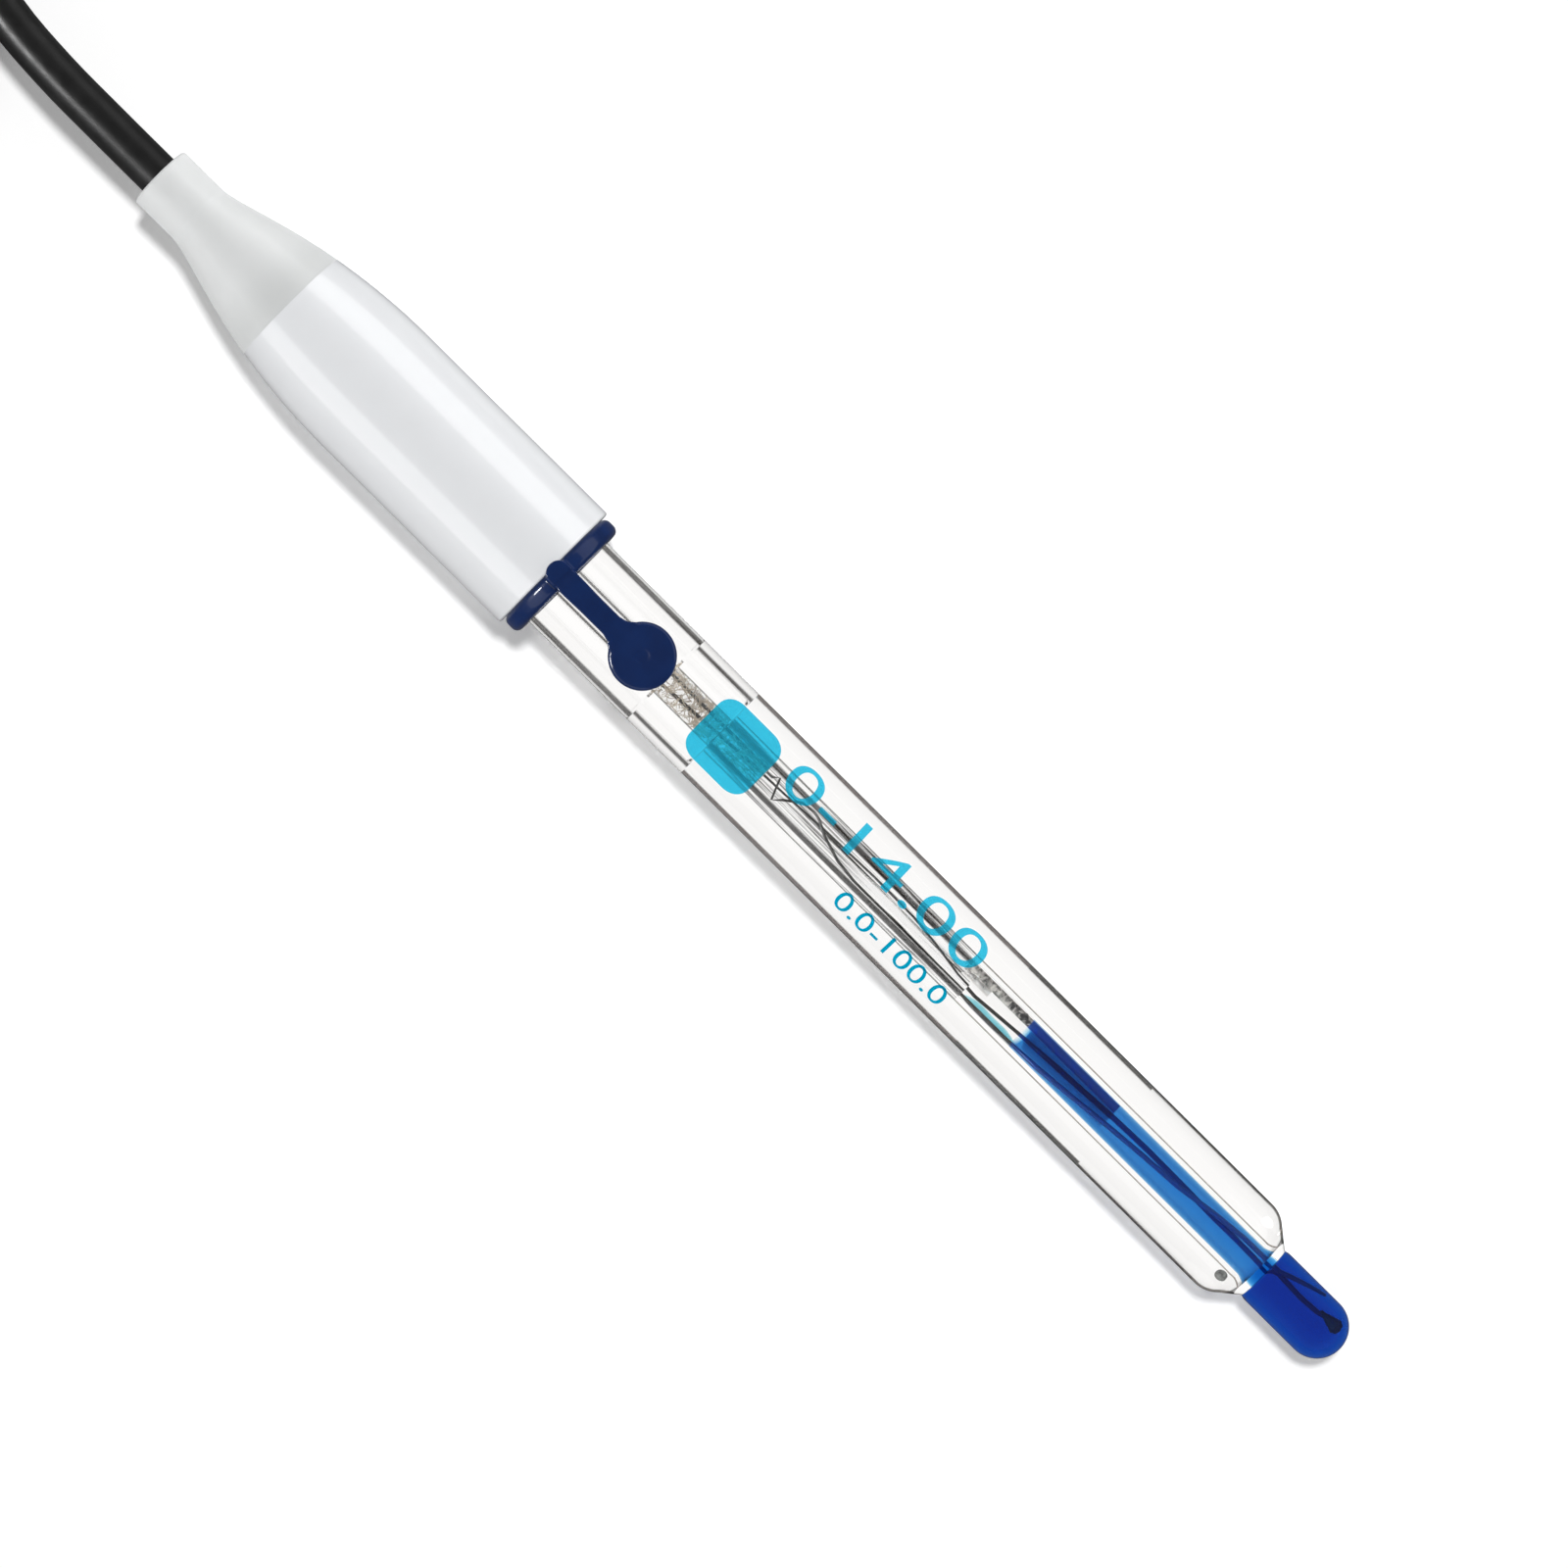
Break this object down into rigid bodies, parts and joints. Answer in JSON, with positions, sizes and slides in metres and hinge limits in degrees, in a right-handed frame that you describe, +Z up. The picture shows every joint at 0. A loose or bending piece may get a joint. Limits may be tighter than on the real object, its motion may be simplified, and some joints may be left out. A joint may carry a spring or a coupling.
{
  "type": "ph electrode",
  "caption": "Combination glass electrode: clear shaft with a blue gel bulb, white cap, refill stopper, translucent boot and coiled coaxial cable with a bayonet plug.",
  "frame": {"origin": "bottom centre of the electrode without its cable, on the surface that it lies on", "axes": "+X along the electrode, from the cable boot to the sensing bulb, +Z up with the refill stopper on top; the shaft leans 1.2 degrees down towards the bulb, because it rests on the cap's rim and on its own shoulder"},
  "size_m": [0.3186, 0.045, 0.0174],
  "materials": {
    "shaft_glass": "clear, fire polished",
    "stem_glass": "clear",
    "bulb_glass": "clear, thin blown glass",
    "frit": "matte, porous",
    "gel": "clear blue gel",
    "electrolyte": "clear liquid",
    "silver": "tarnished silver",
    "chloride": "dark silver chloride",
    "wadding": "loose fibre",
    "seal_rubber": "pale, smooth",
    "potting": "cast resin",
    "solder": "soft solder",
    "copper": "tinned copper",
    "dielectric": "natural white",
    "clamp_metal": "plain steel",
    "cap_plastic": "glossy white",
    "boot_plastic": "translucent, soft, satin",
    "stopper_rubber": "navy, smooth, slightly glossy",
    "jacket": "black, satin",
    "tie": "black hook tape",
    "boot_rubber": "black, matte",
    "nickel": "nickel plate",
    "gold": "gold plate",
    "gasket": "red silicone",
    "spring_steel": "spring steel"
  },
  "bodies": {
    "electrode": {"outer_tube": "shaft_glass", "inner_stem": "stem_glass", "sensing_bulb": "bulb_glass", "ceramic_frit": "frit", "buffer_gel": "gel", "electrolyte": "electrolyte", "element_wire": "silver", "bead_wire": "silver", "element_bead": "chloride", "chloride_rod": "chloride", "wadding_plug": "wadding", "reference_wire": "silver", "tube_bush": "seal_rubber", "stem_seal": "seal_rubber", "potting_plug": "potting", "solder_joint": "solder", "core_wire": "copper", "core_insulation": "dielectric", "braid_tail": "copper", "cable_clamp": "clamp_metal", "cap_body": "cap_plastic", "cable_boot": "boot_plastic", "stopper_ring": "stopper_rubber", "cable_tail": "jacket", "cable_lead": "jacket", "cable_hank": "jacket", "hank_tie": "tie", "plug_lead": "jacket", "plug_boot": "boot_rubber", "crimp_ferrule": "nickel", "plug_body": "nickel", "plug_insulator": "dielectric", "plug_pin": "gold", "plug_gasket": "gasket", "retaining_ring": "spring_steel", "wave_washer": "spring_steel"},
    "stopper": {"refill_stopper": "stopper_rubber"},
    "nut": {"coupling_nut": "nickel"}
  },
  "joints": [
    {"name": "stopper_hinge", "type": "hinge", "parent": "electrode", "child": "stopper", "pos_m": [-0.02743, 0, 0.01654], "axis": [0, -1, 0], "range_deg": [0, 90]},
    {"name": "nut_turn", "type": "hinge", "parent": "electrode", "child": "nut", "pos_m": [-0.134, -0.0146, 0.0072], "axis": [1, 0, 0], "continuous": true}
  ]
}
